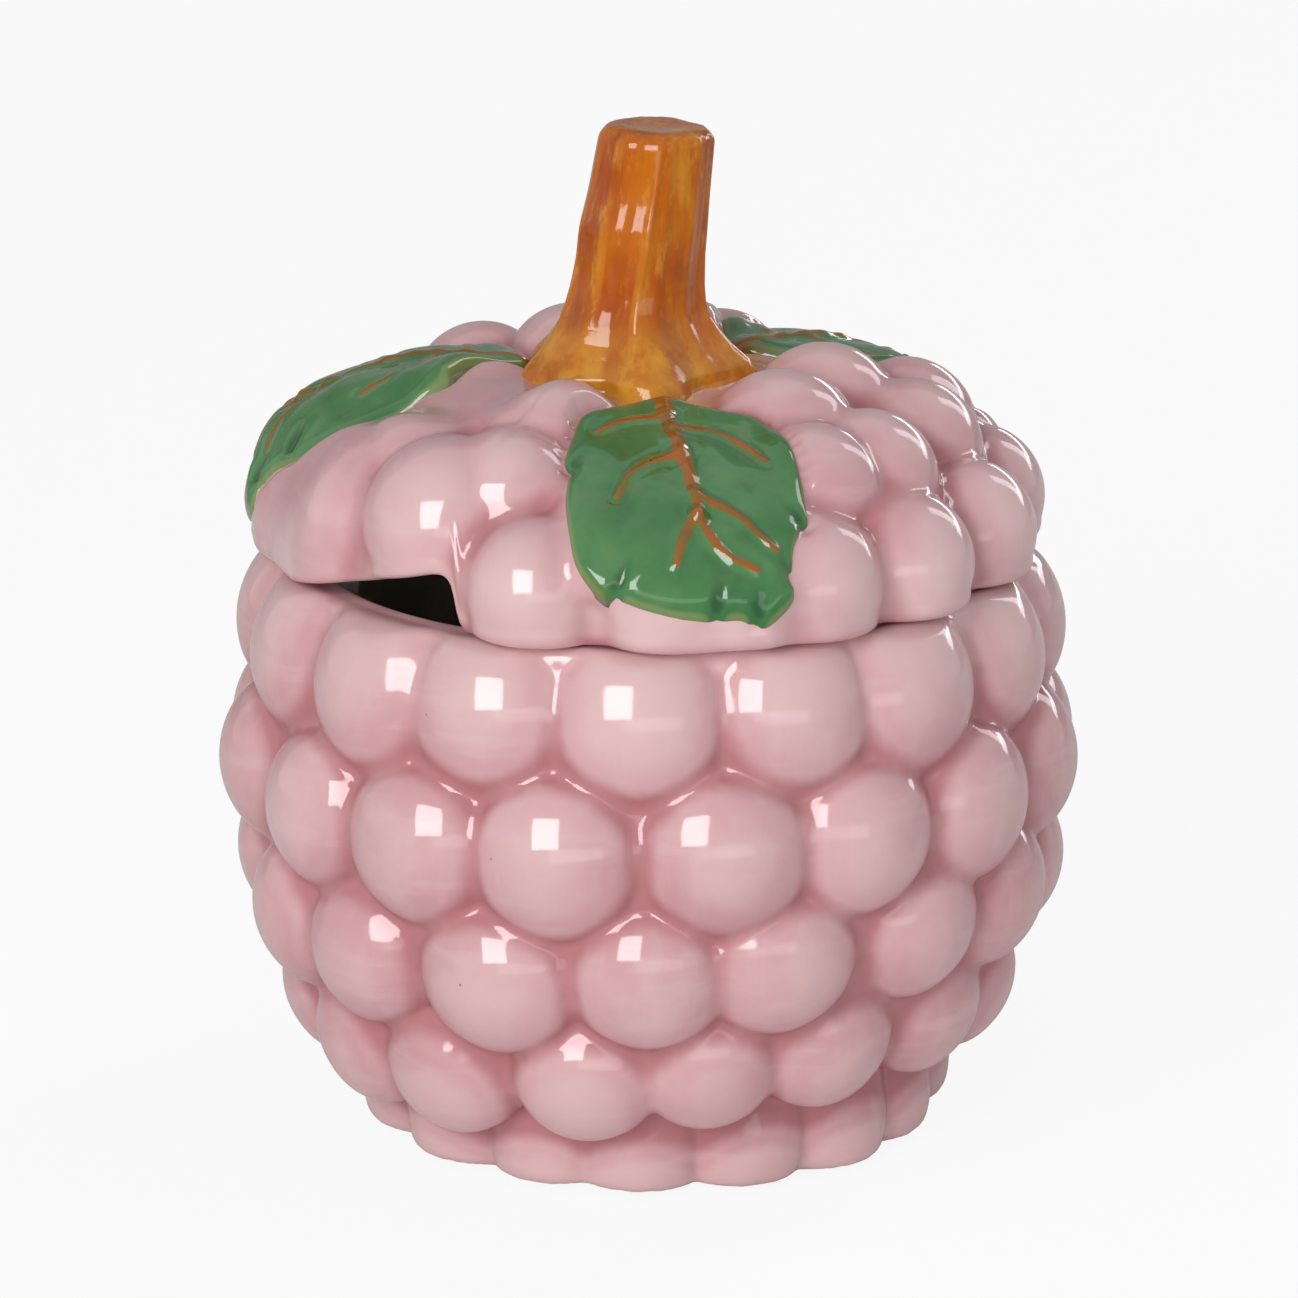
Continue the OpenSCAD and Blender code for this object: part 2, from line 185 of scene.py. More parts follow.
def add_mesh(name, points, faces, marks, material, body, node):
    """Makes one piece from points and faces, with a float mark at each point for the materials."""
    mesh = bpy.data.meshes.new(name)
    mesh.from_pydata([tuple(p) for p in points], [], faces)
    for mark, values in marks.items():
        layer = mesh.attributes.new(mark, "FLOAT", "POINT")
        layer.data.foreach_set("value", np.asarray(values, np.float32))
    made = bmesh.new()
    made.from_mesh(mesh)
    bmesh.ops.remove_doubles(made, verts=made.verts, dist=SAME_POINT)
    bmesh.ops.dissolve_degenerate(made, edges=made.edges, dist=FLAT_FACE)
    bmesh.ops.recalc_face_normals(made, faces=made.faces)
    for face in made.faces:
        face.smooth = True
    made.to_mesh(mesh)
    made.free()
    mesh.materials.append(material)
    piece = bpy.data.objects.new(name, mesh)
    bpy.context.scene.collection.objects.link(piece)
    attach(piece, body)
    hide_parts(node)


def hoop(turns, r, z):
    """One row of points at a radius and height, each a number or one value for each turn."""
    r = np.broadcast_to(r, turns.shape)
    z = np.broadcast_to(z, turns.shape)
    return np.stack([r * np.sin(turns), -r * np.cos(turns), z], -1)


class Skin:
    """A closed skin: rows of points round the axis, with marks. One point starts it and one ends it."""

    def __init__(self, *marks):
        self.rows = []
        self.marks = {mark: [] for mark in marks}

    def add(self, row, **values):
        self.rows.append(row)
        for mark, store in self.marks.items():
            store.append(np.broadcast_to(values.get(mark, 0.0), len(row)))

    def faces(self):
        count = len(self.rows[1])
        bands = len(self.rows) - 3
        last = 1 + (bands + 1) * count
        faces = []
        for j in range(count):
            n = (j + 1) % count
            faces.append((0, 1 + n, 1 + j))
            for i in range(bands):
                a = 1 + i * count
                b = a + count
                faces.append((a + j, a + n, b + n, b + j))
            a = 1 + bands * count
            faces.append((a + j, a + n, last))
        return faces

    def finish(self, name, material, body, node, slot):
        marks = {mark: np.concatenate(store) for mark, store in self.marks.items()}
        add_mesh(name, np.concatenate(self.rows), self.faces(), marks, material, body, node)


# Materials

ROUGHNESS = 0.1
GLOSS_SPAN = (0.06, 0.12)
CLAY_ROUGHNESS = 0.6
BRIM_FOOT_Z = (74.5 * MM, 76.5 * MM)
BRIM_TOP_Z = (85 * MM, 78 * MM)
BLEED_R = (18.5 * MM, 15 * MM)
BLEED_Z = (90 * MM, 94 * MM)
LEAF_ROOT_R = (20 * MM, 14 * MM)
STEM_ROOT_Z = (107 * MM, 98 * MM)


def srgb(r, g, b):
    """Linear colour from a screen colour."""
    shares = [c / 255 for c in (r, g, b)]
    return tuple(c / 12.92 if c <= 0.04045 else ((c + 0.055) / 1.055) ** 2.4 for c in shares) + (1.0,)


class Paint:
    """A material under construction."""

    def __init__(self, name, shine):
        self.material = bpy.data.materials.new(name)
        self.material.use_nodes = True
        self.tree = self.material.node_tree
        self.tree.nodes.clear()
        self.shader = self.tree.nodes.new("ShaderNodeBsdfPrincipled")
        self.shader.inputs["Roughness"].default_value = ROUGHNESS
        self.shader.inputs["Specular IOR Level"].default_value = shine
        out = self.tree.nodes.new("ShaderNodeOutputMaterial")
        self.link(self.shader.outputs[0], out.inputs["Surface"])
        self.place = self.tree.nodes.new("ShaderNodeTexCoord").outputs["Object"]

    def link(self, a, b):
        self.tree.links.new(a, b)

    def put(self, socket, value):
        if isinstance(value, bpy.types.NodeSocket):
            self.link(value, socket)
        else:
            socket.default_value = value

    def stretched(self, scale):
        node = self.tree.nodes.new("ShaderNodeMapping")
        self.link(self.place, node.inputs["Vector"])
        node.inputs["Scale"].default_value = scale
        return node.outputs[0]

    def noise(self, scale, detail=3.0, rough=0.55, place=None, bend=0.0):
        node = self.tree.nodes.new("ShaderNodeTexNoise")
        self.link(place or self.place, node.inputs["Vector"])
        node.inputs["Scale"].default_value = scale
        node.inputs["Detail"].default_value = detail
        node.inputs["Roughness"].default_value = rough
        node.inputs["Distortion"].default_value = bend
        return node.outputs[0]

    def brushed(self, scale, detail, rough):
        """Noise with its own scale along each axis."""
        return self.noise(1.0, detail, rough, self.stretched(scale))

    def specks(self, scale, size, share):
        """Small round spots, on a share of the cells."""
        node = self.tree.nodes.new("ShaderNodeTexVoronoi")
        self.link(self.place, node.inputs["Vector"])
        node.inputs["Scale"].default_value = scale
        spot = self.span(node.outputs["Distance"], size, size * 0.55)
        split = self.tree.nodes.new("ShaderNodeSeparateColor")
        self.link(node.outputs["Color"], split.inputs[0])
        return self.times(spot, self.span(split.outputs[0], share, share - 0.01))

    def mark(self, name):
        node = self.tree.nodes.new("ShaderNodeAttribute")
        node.attribute_name = name
        return node.outputs["Fac"]

    def span(self, value, low, high, to_low=0.0, to_high=1.0):
        """Smooth step of a value from one span on to another."""
        node = self.tree.nodes.new("ShaderNodeMapRange")
        node.interpolation_type = "SMOOTHSTEP"
        self.link(value, node.inputs["Value"])
        spans = (("From Min", low), ("From Max", high), ("To Min", to_low), ("To Max", to_high))
        for name, number in spans:
            node.inputs[name].default_value = number
        return node.outputs[0]

    def math(self, kind, a, b):
        node = self.tree.nodes.new("ShaderNodeMath")
        node.operation = kind
        self.put(node.inputs[0], a)
        self.put(node.inputs[1], b)
        return node.outputs[0]

    def times(self, a, b):
        return self.math("MULTIPLY", a, b)

    def shaken(self, value, scale, detail, amount):
        """A value with noise of up to that amount added both ways."""
        return self.math("ADD", value, self.span(self.noise(scale, detail), 0.3, 0.7, -amount, amount))

    def mix(self, share, a, b):
        node = self.tree.nodes.new("ShaderNodeMix")
        node.data_type = "RGBA"
        self.put(node.inputs[0], share)
        self.put(node.inputs[6], a)
        self.put(node.inputs[7], b)
        return node.outputs[2]

    def height(self):
        """Height in the part's frame."""
        node = self.tree.nodes.new("ShaderNodeSeparateXYZ")
        self.link(self.place, node.inputs[0])
        return node.outputs[2]

    def from_axis(self):
        """Distance from the part's axis."""
        node = self.tree.nodes.new("ShaderNodeVectorMath")
        node.operation = "LENGTH"
        self.link(self.stretched((1, 1, 0)), node.inputs[0])
        return node.outputs["Value"]

    def bump(self, value, depth, strength, under=None):
        node = self.tree.nodes.new("ShaderNodeBump")
        node.inputs["Strength"].default_value = strength
        node.inputs["Distance"].default_value = depth
        self.link(value, node.inputs["Height"])
        if under is not None:
            self.link(under, node.inputs["Normal"])
        return node.outputs[0]

    def gloss(self, scale):
        """Roughness of a glaze that varies a little."""
        return self.span(self.noise(scale, 3), 0.3, 0.7, *GLOSS_SPAN)

    def finish(self, colour, roughness, normal):
        self.link(colour, self.shader.inputs["Base Color"])
        self.link(roughness, self.shader.inputs["Roughness"])
        self.link(normal, self.shader.inputs["Normal"])
        return self.material


def pink_glaze():
    """Pink glaze, paler where it runs thin on tops and at the lid's brim, and deeper where it pools.

    It gives way to cream glaze inside, to amber that bled from the stem's root, and to bare clay
    under the foot.
    """
    p = Paint("pink_glaze", 0.34)
    cloud = p.noise(38, 4, 0.6)
    brush = p.brushed((260, 260, 42), 4, 0.6)
    wash = p.brushed((48, 48, 300), 4, 0.6)
    colour = p.mix(p.span(cloud, 0.35, 0.68), srgb(212, 169, 172), srgb(201, 152, 156))
    colour = p.mix(p.span(brush, 0.48, 0.75, 0, 0.3), colour, srgb(217, 182, 183))
    colour = p.mix(p.span(wash, 0.5, 0.72, 0, 0.4), colour, srgb(216, 180, 184))
    pool = p.shaken(p.mark("pool"), 120, 3, 0.25)
    colour = p.mix(p.span(pool, 0.15, 1.9, 0, 0.85), colour, srgb(176, 110, 116))
    colour = p.mix(p.span(pool, -0.2, -1.6, 0, 0.5), colour, srgb(222, 192, 191))
    brim = p.times(p.span(p.height(), *BRIM_FOOT_Z), p.span(p.height(), *BRIM_TOP_Z))
    brim = p.times(brim, p.span(p.noise(60, 3), 0.35, 0.65, 0.1, 0.55))
    colour = p.mix(brim, colour, srgb(227, 201, 198))
    colour = p.mix(p.specks(260, 0.06, 0.04), colour, srgb(158, 108, 108))
    bleed = p.times(p.span(p.from_axis(), *BLEED_R), p.span(p.height(), *BLEED_Z))
    bleed = p.times(bleed, p.span(p.noise(140, 4), 0.35, 0.65, 0.1, 0.8))
    colour = p.mix(bleed, colour, srgb(212, 158, 84))
    inside = p.shaken(p.mark("inside"), 150, 3, 0.1)
    cream = p.mix(p.span(p.noise(55, 4), 0.35, 0.7), srgb(236, 232, 222), srgb(224, 217, 205))
    cream = p.mix(p.specks(330, 0.08, 0.06), cream, srgb(178, 152, 132))
    colour = p.mix(p.span(inside, 0.4, 0.6), colour, cream)
    clay = p.span(p.shaken(p.mark("clay"), 300, 2, 0.15), 0.4, 0.6)
    bare = p.mix(p.span(p.noise(900, 3), 0.3, 0.7), srgb(206, 188, 172), srgb(182, 160, 143))
    colour = p.mix(clay, colour, bare)
    rough = p.math("ADD", p.gloss(24), p.times(clay, CLAY_ROUGHNESS))
    flow = p.bump(p.noise(70, 2), 0.5 * MM, 0.18)
    peel = p.bump(p.noise(420, 2), 0.05 * MM, 0.16, flow)
    return p.finish(colour, rough, peel)


def green_glaze():
    """Green glaze, pale at the edges and dark in the dents, with ochre brushed along the veins."""
    p = Paint("green_glaze", 0.32)
    cloud = p.noise(75, 4, 0.6)
    colour = p.mix(p.span(cloud, 0.32, 0.68), srgb(56, 114, 62), srgb(84, 132, 82))
    colour = p.mix(p.span(p.noise(190, 3), 0.5, 0.75, 0, 0.5), colour, srgb(46, 98, 56))
    thin = p.mark("thin")
    colour = p.mix(p.span(thin, 0.4, 1.0, 0, 0.7), colour, srgb(132, 146, 92))
    colour = p.mix(p.span(thin, -0.1, -0.9, 0, 0.75), colour, srgb(34, 76, 42))
    vein = p.shaken(p.mark("vein"), 230, 3, 0.25)
    ochre = p.mix(p.span(p.noise(160, 3), 0.35, 0.65), srgb(126, 88, 22), srgb(162, 86, 16))
    colour = p.mix(p.span(vein, 0.35, 0.65, 0, 0.94), colour, ochre)
    smear = p.times(p.span(p.noise(48, 3), 0.5, 0.72, 0, 0.4), p.span(vein, 0.02, 0.3))
    colour = p.mix(smear, colour, srgb(112, 112, 40))
    root = p.times(p.span(p.from_axis(), *LEAF_ROOT_R), p.span(p.noise(170, 4), 0.4, 0.62, 0.1, 0.8))
    colour = p.mix(root, colour, srgb(128, 88, 30))
    colour = p.mix(p.specks(420, 0.1, 0.05), colour, srgb(36, 66, 44))
    normal = p.bump(p.noise(110, 3), 0.4 * MM, 0.22)
    return p.finish(colour, p.gloss(40), normal)


def amber_glaze():
    """Amber glaze brushed lengthwise in ochre and burnt orange, yellower at the root of the stem."""
    p = Paint("amber_glaze", 0.24)
    along = p.brushed((230, 230, 44), 5, 0.62)
    patch = p.noise(62, 4, 0.6, bend=0.6)
    colour = p.mix(p.span(patch, 0.34, 0.66), srgb(190, 100, 5), srgb(164, 70, 2))
    colour = p.mix(p.span(along, 0.5, 0.72, 0, 0.75), colour, srgb(206, 138, 34))
    colour = p.mix(p.span(along, 0.44, 0.26, 0, 0.65), colour, srgb(140, 62, 8))
    across = p.brushed((150, 150, 230), 4, 0.6)
    colour = p.mix(p.span(across, 0.56, 0.75, 0, 0.55), colour, srgb(140, 70, 22))
    root = p.times(p.span(p.height(), *STEM_ROOT_Z, 0, 0.85), p.span(patch, 0.3, 0.6))
    root = p.times(root, p.span(p.noise(210, 4, 0.65), 0.36, 0.62, 0.25, 1.0))
    colour = p.mix(root, colour, srgb(214, 158, 56))
    fleck = p.brushed((480, 480, 150), 5, 0.7)
    colour = p.mix(p.span(fleck, 0.53, 0.68, 0, 0.55), colour, srgb(212, 148, 44))
    groove = p.mark("groove")
    streak = p.span(p.brushed((120, 120, 70), 3, 0.6), 0.35, 0.65)
    colour = p.mix(p.times(p.span(groove, 0.5, 1.0, 0, 0.55), streak), colour, srgb(158, 70, 8))
    colour = p.mix(p.times(p.span(groove, 0.28, 0.0, 0, 0.5), streak), colour, srgb(214, 146, 40))
    colour = p.mix(p.specks(380, 0.12, 0.05), colour, srgb(96, 46, 18))
    normal = p.bump(along, 0.4 * MM, 0.22)
    return p.finish(colour, p.gloss(45), normal)


# Pot

ROUND_R = 1.2 * MM
CREASE_BALL_R = 7 * MM
POOL_SIZE = 4.5 * MM
POT_COLS = 560
POT_ROWS = 180
POT_RING = (20 * MM, 42 * MM)
POT_TILTS = (-72, 54.5)
POT_FILL_R = 1.5 * MM
POT_SOFTEN = 0.32 * MM
POT_CREASE = 0.26
LOW_ROW_Z = (15 * MM, 6 * MM)
LOW_ROW_SIZE = 5 * MM
LOW_ROW_GAIN = 0.45
RIM_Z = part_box("pot")[1].z
RIM_POOL = -0.6
CREAM_STEP = 0.3
# Radius and height in millimetres, and the share of bare clay at the foot or of cream at the rim
FOOT_LINE = (
    (14, 0.8, 1), (25.6, 0.8, 1), (26.2, 0.75, 1), (26.7, 0.25, 1), (27.1, 0.02, 1), (27.6, 0, 1),
    (29.5, 0, 1), (31.4, 0, 1), (31.9, 0.03, 1), (32.3, 0.25, 0.7), (32.6, 0.65, 0.2),
)
RIM_LINE = ((42.6, 73.97, 0), (42.3, 73.86, 0), (42.1, 73.65, 0.1), (42.0, 73.3, 0.25))
POT_INNER_FROM_Z = 40 * MM
POT_INNER_TILTS = (36, -89)
INNER_TURN = 1.6
INNER_COUNT = 56
INNER_BLUR = 1.4
INNER_LEAST_R = 0.3 * MM


def even_turns(count):
    """Turns at even steps round the axis."""
    return np.arange(count) * 2 * math.pi / count


def inner_line(tree, from_z, tilt_span):
    """Radius and height along the inside of a turned hollow, over a span of tilts, smoothed."""
    spots = []
    for tilt in np.radians(np.linspace(*tilt_span, INNER_COUNT)):
        out = math.cos(tilt)
        way = Vector((math.sin(INNER_TURN) * out, -math.cos(INNER_TURN) * out, math.sin(tilt)))
        hit = tree.ray_cast(Vector((0, 0, from_z)), way)
        spots.append((math.hypot(hit[0].x, hit[0].y), hit[0].z))
    spots = np.array(spots)
    padded = np.concatenate([2 * spots[:1] - spots[3:0:-1], spots, 2 * spots[-1:] - spots[-2:-5:-1]])
    weights = np.exp(-0.5 * (np.arange(-3, 4) / INNER_BLUR) ** 2)
    smooth = sum(w * padded[k:k + INNER_COUNT] for k, w in enumerate(weights)) / weights.sum()
    smooth[:, 0] = np.maximum(smooth[:, 0], INNER_LEAST_R)
    return smooth


def pooled(field, steps):
    """How far a place lies below its surroundings, in millimetres, which is where glaze pools."""
    return (blur(field, POOL_SIZE, steps) - field) / MM


def pot_skin(material):
    """The pot: its foot, the drupelets with the lowest row brought out more, the rim and the inside."""
    tree = solid("pot")
    turns = even_turns(POT_COLS)
    line = np.radians(np.linspace(*POT_TILTS, POT_ROWS))
    tilts = np.repeat(line[:, None], POT_COLS, 1)
    field = fill_gaps(ring_field(tree, turns, tilts, *POT_RING))
    row_step = field.mean() * (line[1] - line[0])
    col_step = (POT_RING[0] + field.mean(1) * np.cos(line)) * 2 * math.pi / POT_COLS
    steps = (row_step, col_step)
    field = glazed(field, ROUND_R, POT_FILL_R, POT_SOFTEN, steps)
    field = creased(field, CREASE_BALL_R, POT_CREASE, steps)
    low = ramp(POT_RING[1] + field.mean(1) * np.sin(line), *LOW_ROW_Z)[:, None]
    field = field + LOW_ROW_GAIN * low * (field - blur(field, LOW_ROW_SIZE, steps))
    pool = pooled(field, steps)
    outer = ring_point(turns[None, :], tilts, field, *POT_RING)
    outer[..., 2] = np.minimum(outer[..., 2], RIM_Z)

    skin = Skin("pool", "inside", "clay")
    skin.add(hoop(turns[:1], 0.0, FOOT_LINE[0][1] * MM), clay=1.0)
    for r, z, clay in FOOT_LINE:
        skin.add(hoop(turns, r * MM, z * MM), clay=clay)
    for row, pool_row in zip(outer, pool):
        skin.add(row, pool=pool_row)
    for r, z, inside in RIM_LINE:
        skin.add(hoop(turns, r * MM, z * MM), pool=RIM_POOL, inside=inside)
    inner = inner_line(tree, POT_INNER_FROM_Z, POT_INNER_TILTS)
    for n, (r, z) in enumerate(inner, 1):
        skin.add(hoop(turns, r, z), inside=min(1.0, CREAM_STEP * n))
    skin.add(hoop(turns[:1], 0.0, inner[-1][1]), inside=1.0)
    skin.finish("pot_skin", material, "pot", "pot", "pink_glaze")


# Lid

LID_COLS = 600
LID_ROWS = 150
LID_RING = (22 * MM, 72 * MM)
LID_TOP_TILT = 119
LID_FILL_R = 1.9 * MM
LID_SOFTEN = 0.35 * MM
LID_CREASE = 0.22
EDGE_TILTS = (-12, 40)
EDGE_LEAST_R = 43.4 * MM
EDGE_BLUR = 1.3
EDGE_HALVINGS = 14
ROW_LEAST_R = 9 * MM
UNDER_FROM_Z = 50 * MM
LIP_R = 1.8 * MM
LIP_REACH = 28 * MM
LIP_LEAST_R = 44.6 * MM
LIP_INSET = 0.3 * MM
LIP_DROP = 0.2 * MM
LIP_STEPS = (0.2, 0.4, 0.6, 0.8)
LIP_POOL = 0.3
SEAT_Z = RIM_Z + 0.2 * MM
SEAT_IN_R = 42.5 * MM
SEAT_OUT_R = 44.5 * MM
SEAT_EDGE_R = 44.0 * MM
FLANGE_MIDDLE_R = 39.5 * MM
FLANGE_OUT_R = 41.0 * MM
DOME_EDGE_R = 36 * MM
WALL_STEPS = (0.35, 0.7)
LID_INNER_FROM_Z = 76 * MM
LID_INNER_TILTS = (88, 6)
# The ring under the lid, in millimetres: radius, and height over its foot or depth under the seat
FLANGE_FOOT = ((38.0, 0.5), (38.25, 0.15), (38.7, 0.0), (40.3, 0.0), (40.75, 0.15), (41.0, 0.5))
FLANGE_TOP = ((41.0, 0.5), (41.2, 0.1), (42.5, 0.0))
LEAF_LOW = 0.35 * MM
LEAF_SLACK = 0.1 * MM
LEAF_BESIDE = 2
CLEAR_SIZE = 1.2 * MM
CLEAR_SPAN = (0.7, 1.0)
CLEAR_FOOT = 0.08
FULL_FILL_R = 5.0 * MM
FULL_SOFTEN = 0.6 * MM
CALM_SIZE = 6 * MM
LOBE_RISE = 0.8 * MM
LEAF_SIDE_DROP = 1.2 * MM
# Places on the lid that are smoother than the rest: turn, tilt, and how far each reaches, in degrees
HOOD = (-73, 24, 20, 42)
LOBE = (-72, 24, 12, 34)
CHIN = (15, 4, 14, 20)
LEAF_SIDE = (-62, 88, 24, 24)


def lowest_tilt(tree, turn):
    """The lowest tilt at which the outside of the lid is hit."""
    low, high = np.radians(EDGE_TILTS)
    for _ in range(EDGE_HALVINGS):
        middle = (low + high) / 2
        reach = ring_reach(tree, turn, middle, *LID_RING)
        outside = reach is not None and LID_RING[0] + reach * math.cos(middle) > EDGE_LEAST_R
        low, high = (low, middle) if outside else (middle, high)
    return high


def underside(tree, turns, r):
    """Height of the lid's underside at a radius, for each turn."""
    up = Vector((0, 0, 1))
    starts = [Vector((r * math.sin(turn), -r * math.cos(turn), UNDER_FROM_Z)) for turn in turns]
    return smooth_round(np.array([tree.ray_cast(start, up)[0].z for start in starts]), EDGE_BLUR)


def lid_field(tree, turns, tilts, leaf_tops):
    """Reach of the lid's outside, with the beds of the leaves, and the reach of these beds alone.

    A bed lies just below the leaf's face and goes a little past its edge. Elsewhere it is nan.
    """
    field = fill_gaps(ring_field(tree, turns, tilts, *LID_RING))
    bed = ring_field(leaf_tops, turns, tilts, *LID_RING) - LEAF_LOW
    for _ in range(LEAF_BESIDE):
        around = [np.roll(bed, shift, (0, 1)) for shift in ((0, 1), (0, -1), (1, 0), (-1, 0))]
        bed = np.where(np.isnan(bed), np.fmax.reduce(around), bed)
    return np.where(np.isnan(bed), field, bed), bed


def hump(turns, tilts, turn, tilt, turn_size, tilt_size):
    """A smooth share from 1 at a turn and tilt to 0 round about, with all four values in degrees."""
    away = ((np.degrees(turns) - turn + 180) % 360 - 180) / turn_size
    high = (np.degrees(tilts) - tilt) / tilt_size
    return np.exp(-(away ** 2 + high ** 2) ** 2)


def lid_glaze(field, bed, climb, turns, tilts, steps):
    """The glazed field: crisp between drupelets, smoother at the named places, low under the leaves."""
    crisp = glazed(field, ROUND_R, LID_FILL_R, LID_SOFTEN, steps)
    clear = ramp(blur(np.isnan(bed) * 1.0, CLEAR_SIZE, steps), *CLEAR_SPAN)
    clear = clear * ramp(climb, 0.0, CLEAR_FOOT)
    crisp = creased(crisp, CREASE_BALL_R, LID_CREASE * clear, steps)
    full = glazed(field, ROUND_R, FULL_FILL_R, FULL_SOFTEN, steps)
    calm = blur(field, CALM_SIZE, steps)
    hood, lobe, chin, leaf_side = (hump(turns, tilts, *place) for place in (HOOD, LOBE, CHIN, LEAF_SIDE))
    field = crisp + np.maximum(hood, chin) * (full - crisp)
    field = field + lobe * (calm + LOBE_RISE - field)
    field = field + leaf_side * (calm - LEAF_SIDE_DROP - field)
    field = np.where(np.isnan(bed), field, np.minimum(field, bed + LEAF_SLACK))
    return blur(field, LID_SOFTEN, steps)


def lid_skin(material, leaf_tops):
    """The lid: inside of the dome, ring that drops into the mouth, seat, lip and outside."""
    tree = solid("lid")
    turns = even_turns(LID_COLS)
    edge = smooth_round(np.array([lowest_tilt(tree, turn) for turn in turns]), EDGE_BLUR)
    climb = np.linspace(0, 1, LID_ROWS)[:, None]
    start = edge + LIP_R / LIP_REACH
    tilts = start + (math.radians(LID_TOP_TILT) - start) * climb
    field, bed = lid_field(tree, turns, tilts, leaf_tops)
    row_step = field.mean() * (tilts[-1] - tilts[0]).mean() / (LID_ROWS - 1)
    row_r = np.maximum(LID_RING[0] + (field * np.cos(tilts)).mean(1), ROW_LEAST_R)
    steps = (row_step, row_r * 2 * math.pi / LID_COLS)
    field = lid_glaze(field, bed, climb, turns, tilts, steps)
    pool = pooled(field, steps)
    outer = ring_point(turns[None, :], tilts, field, *LID_RING)

    seat_in = underside(tree, turns, SEAT_IN_R)
    seat_out = underside(tree, turns, SEAT_OUT_R)
    foot = underside(tree, turns, FLANGE_MIDDLE_R)
    corner = ring_point(turns, edge, field[0] - LIP_INSET, *LID_RING)
    corner[:, 2] = np.maximum(corner[:, 2], SEAT_Z)
    lip_r = np.maximum(np.hypot(corner[:, 0], corner[:, 1]) - LIP_R, LIP_LEAST_R)
    lip_z = np.maximum(SEAT_Z, np.maximum(seat_out, corner[:, 2] - LIP_DROP))
    lip = hoop(turns, lip_r, lip_z)

    skin = Skin("pool", "inside")
    dome = inner_line(tree, LID_INNER_FROM_Z, LID_INNER_TILTS)
    wall_r, wall_z = dome[-1]
    skin.add(hoop(turns[:1], 0.0, dome[0][1]), inside=1.0)
    for r, z in dome[:-1]:
        skin.add(hoop(turns, r, np.maximum(z, foot) if r > DOME_EDGE_R else z), inside=1.0)
    for drop in WALL_STEPS:
        skin.add(hoop(turns, wall_r, np.maximum(wall_z + (foot - wall_z) * drop, foot)), inside=1.0)
    for r, up in FLANGE_FOOT:
        skin.add(hoop(turns, r * MM, foot + up * MM), inside=1.0)
    skin.add(hoop(turns, FLANGE_OUT_R, (foot + seat_in) / 2), inside=0.9)
    for r, down in FLANGE_TOP:
        skin.add(hoop(turns, r * MM, np.maximum(seat_in - down * MM, foot)), inside=0.7)
    skin.add(hoop(turns, SEAT_EDGE_R, seat_out), inside=0.3)
    skin.add(lip, pool=LIP_POOL)
    for t in LIP_STEPS:
        bend = (1 - t) ** 2 * lip + 2 * t * (1 - t) * corner + t ** 2 * outer[0]
        skin.add(bend, pool=LIP_POOL + t * (pool[0] - LIP_POOL))
    for row, pool_row in zip(outer, pool):
        skin.add(row, pool=pool_row)
    skin.add(hoop(turns[:1], 0.0, outer[-1][:, 2].max()))
    skin.finish("lid_skin", material, "lid", "lid", "pink_glaze")


# Leaves, in millimetres on a sloping plane: the distance to the leaf's right, the distance along it
# and the height over the plane

LEAF_TURN = {"leaf_front": 6.0, "leaf_left": -101.0, "leaf_rear": 132.0}
LEAF_SLOPE = math.radians(40)
LEAF_BASE_Z = 79.6 * MM
LEAF_CENTRE = np.array((0.3, 21.0))
LEAF_AROUND = 260
LEAF_RINGS = 46
LEAF_UNDER_RINGS = (0, 12, 24, 36)
LEAF_EDGE = 1.7
LEAF_DROP = 1.3
LEAF_SINK = 0.1
LEAF_THICK = 1.7
LEAF_UNDERCUT = 0.985
LEAF_LEAST = 6.0
CROWN_REACH = 10.0
THIN_REACH = 0.55
ROOT_ALONG = 5
ROOT_WIDER = 0.7
RING_POWER = 1.4
FADE_REACH = 2.0
WAVE_RISE = 0.22
NICK_R = 0.7
NICK_SHARE = 0.03
DENT_R = 0.95
DENT_START = 0.2
DENT_DEPTH = 0.75
DENT_DARK = 1.2
VEIN_TAPER = 0.4
VEIN_RISE = 0.22
VEIN_DIP = 0.24
LOOP_FINE = 4
CAST_FROM = 60.0
REST_BLUR = 1.6
REST_LEAST = 0.05
GRID = 0.5
GRID_RIGHT = np.arange(-20, 20.01, GRID)
GRID_ALONG = np.arange(-5, 46.01, GRID)
OUTLINE = (
    (0.0, 0.8), (-5.3, 2.3), (-10.3, 5.1), (-12.3, 9.8), (-13.6, 14.2), (-13.4, 16.9), (-14.1, 21.5),
    (-14.2, 26.6), (-13.8, 31.1), (-12.5, 34.0), (-10.5, 36.1), (-8.8, 36.2), (-6.6, 37.3), (-3.9, 38.2),
    (-1.2, 38.8), (1.6, 39.0), (5.5, 38.9), (6.9, 39.2), (8.9, 39.3), (11.8, 37.0), (12.2, 35.4),
    (12.1, 33.6), (12.5, 30.6), (13.6, 28.0), (14.6, 27.0), (14.7, 24.5), (14.6, 19.8), (13.9, 14.2),
    (12.4, 9.3), (10.3, 6.0), (6.9, 4.4), (3.3, 2.6),
)
# Each dent runs from inside the leaf to a nick in its edge
DENTS = (
    ((-7.1, 31.8), (-9.4, 36.0)), ((3.4, 34.5), (2.7, 38.4)), ((12.0, 24.1), (14.2, 27.3)),
    ((10.8, 31.8), (12.2, 34.2)), ((-11.2, 13.8), (-13.5, 16.6)), ((8.2, 36.0), (7.6, 38.9)),
)
